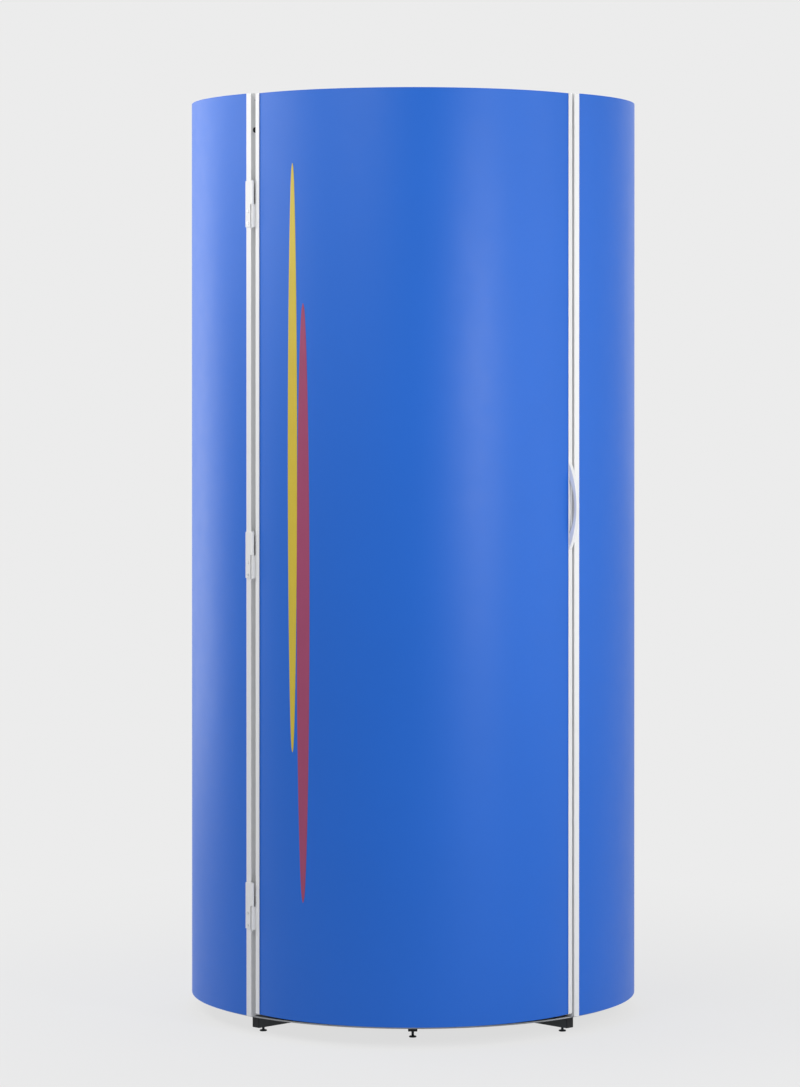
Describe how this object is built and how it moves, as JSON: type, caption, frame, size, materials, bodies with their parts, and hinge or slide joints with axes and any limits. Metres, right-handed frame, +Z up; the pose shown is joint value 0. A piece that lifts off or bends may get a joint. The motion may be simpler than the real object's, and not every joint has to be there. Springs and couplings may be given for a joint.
{
  "type": "vertical tanning booth",
  "caption": "Free-standing round stand-up tanning cabinet with a curved hinged door, upright tubes all round, roof fan and levelling feet.",
  "frame": {"origin": "on the floor below the cabinet's axis, at the centre of the overall box's base", "axes": "+Z up; the door faces -Y; +X to the right of someone looking at the door, the hinges on -X"},
  "size_m": [1, 1.08, 2.0373],
  "materials": {
    "black_steel": "satin black powder coat",
    "black_plastic": "moulded",
    "zinc_steel": "zinc plated",
    "grey_sheet": "satin light grey",
    "birch_ply": "sanded plywood",
    "black_rubber": "ribbed, matt",
    "blue_paint": "smooth satin blue powder coat",
    "white_extrusion": "satin white powder coat",
    "grey_foam": "closed-cell foam",
    "white_sheet": "satin white",
    "grey_plastic": "moulded",
    "bright_aluminium": "bright anodised sheet",
    "white_plastic": "moulded",
    "tube_glass": "phosphor-coated glass, white",
    "cap_aluminium": "pressed, plain",
    "guard_wire": "white coated wire",
    "ballast_case": "pressed steel case",
    "white_handle": "moulded, semi-gloss white",
    "white_hinge": "white powder coat",
    "motor_grey": "dark grey enamel",
    "panel_grey": "moulded light grey",
    "green_button": "moulded green",
    "red_button": "moulded red",
    "black_knob": "moulded black"
  },
  "bodies": {
    "cabinet": {"base_frame": "black_steel", "base_ring": "zinc_steel", "base_tray": "grey_sheet", "beam_end_caps": "black_plastic", "cabin_ballasts": "ballast_case", "cabin_lamp_caps": "cap_aluminium", "cabin_lamp_guards": "guard_wire", "cabin_lamp_holders": "white_plastic", "cabin_lamp_trims": "white_sheet", "cabin_lamp_tubes": "tube_glass", "cabin_reflectors": "bright_aluminium", "cable_gland": "grey_plastic", "ceiling": "white_sheet", "control_box": "panel_grey", "deck": "birch_ply", "deck_bearers": "birch_ply", "deck_mat": "black_rubber", "door_catches": "black_plastic", "door_seals": "grey_foam", "fan_duct": "zinc_steel", "fan_grilles": "guard_wire", "fan_motor": "motor_grey", "foot_inserts": "zinc_steel", "front_posts": "white_extrusion", "grab_handles": "white_handle", "hinge_pins": "zinc_steel", "hinge_post_leaves": "white_hinge", "hinge_screws": "zinc_steel", "left_skin": "blue_paint", "rear_posts": "white_extrusion", "rear_skin": "blue_paint", "right_skin": "blue_paint", "roof": "white_sheet", "switches_and_timer": "black_plastic", "terminal_box": "grey_plastic", "top_ring": "zinc_steel"},
    "door": {"door_skin": "blue_paint", "door_stiles": "white_extrusion", "door_rails": "zinc_steel", "door_handle": "white_handle", "door_inside_pull": "white_handle", "catch_strikes": "zinc_steel", "hinge_door_leaves": "white_hinge", "door_reflectors": "bright_aluminium", "door_lamp_trims": "white_sheet", "door_lamp_tubes": "tube_glass", "door_lamp_caps": "cap_aluminium", "door_lamp_holders": "white_plastic", "door_lamp_guards": "guard_wire", "door_ballasts": "ballast_case"},
    "fan_rotor": {"fan_rotor": "black_plastic"},
    "timer_knob": {"timer_knob": "black_knob"},
    "start_button": {"start_button": "green_button"},
    "stop_button": {"stop_button": "red_button"},
    "levelling_foot_front_right": {"levelling_foot_front_right": "black_steel"},
    "levelling_foot_rear_right": {"levelling_foot_rear_right": "black_steel"},
    "levelling_foot_rear_left": {"levelling_foot_rear_left": "black_steel"},
    "levelling_foot_front_left": {"levelling_foot_front_left": "black_steel"},
    "levelling_foot_front_middle": {"levelling_foot_front_middle": "black_steel"},
    "levelling_foot_rear_middle": {"levelling_foot_rear_middle": "black_steel"}
  },
  "joints": [
    {"name": "door_swing", "type": "hinge", "parent": "cabinet", "child": "door", "pos_m": [-0.34614, -0.36977, 1.04], "axis": [0, 0, -1], "range_deg": [0, 110]},
    {"name": "fan_spin", "type": "hinge", "parent": "cabinet", "child": "fan_rotor", "pos_m": [0, 0, 1.9783], "axis": [0, 0, 1], "continuous": true},
    {"name": "timer_knob_turn", "type": "hinge", "parent": "cabinet", "child": "timer_knob", "pos_m": [0.34308, 0.00927, 1.84275], "axis": [0.9996, 0.027, 0], "range_deg": [0, 300]},
    {"name": "start_button_press", "type": "slide", "parent": "cabinet", "child": "start_button", "axis": [0.9943, -0.1068, 0], "range_m": [0, 0.003], "stiffness_N_per_m": 400},
    {"name": "stop_button_press", "type": "slide", "parent": "cabinet", "child": "stop_button", "axis": [0.9871, 0.1603, 0], "range_m": [0, 0.003], "stiffness_N_per_m": 400},
    {"name": "levelling_foot_front_right_turn", "type": "hinge", "parent": "cabinet", "child": "levelling_foot_front_right", "pos_m": [0.32527, -0.32527, 0.002], "axis": [0, 0, 1], "continuous": true},
    {"name": "levelling_foot_rear_right_turn", "type": "hinge", "parent": "cabinet", "child": "levelling_foot_rear_right", "pos_m": [0.32527, 0.32527, 0.002], "axis": [0, 0, 1], "continuous": true},
    {"name": "levelling_foot_rear_left_turn", "type": "hinge", "parent": "cabinet", "child": "levelling_foot_rear_left", "pos_m": [-0.32527, 0.32527, 0.002], "axis": [0, 0, 1], "continuous": true},
    {"name": "levelling_foot_front_left_turn", "type": "hinge", "parent": "cabinet", "child": "levelling_foot_front_left", "pos_m": [-0.32527, -0.32527, 0.002], "axis": [0, 0, 1], "continuous": true},
    {"name": "levelling_foot_front_middle_turn", "type": "hinge", "parent": "cabinet", "child": "levelling_foot_front_middle", "pos_m": [0, -0.399, 0.002], "axis": [0, 0, 1], "continuous": true},
    {"name": "levelling_foot_rear_middle_turn", "type": "hinge", "parent": "cabinet", "child": "levelling_foot_rear_middle", "pos_m": [0, 0.399, 0.002], "axis": [0, 0, 1], "continuous": true}
  ]
}
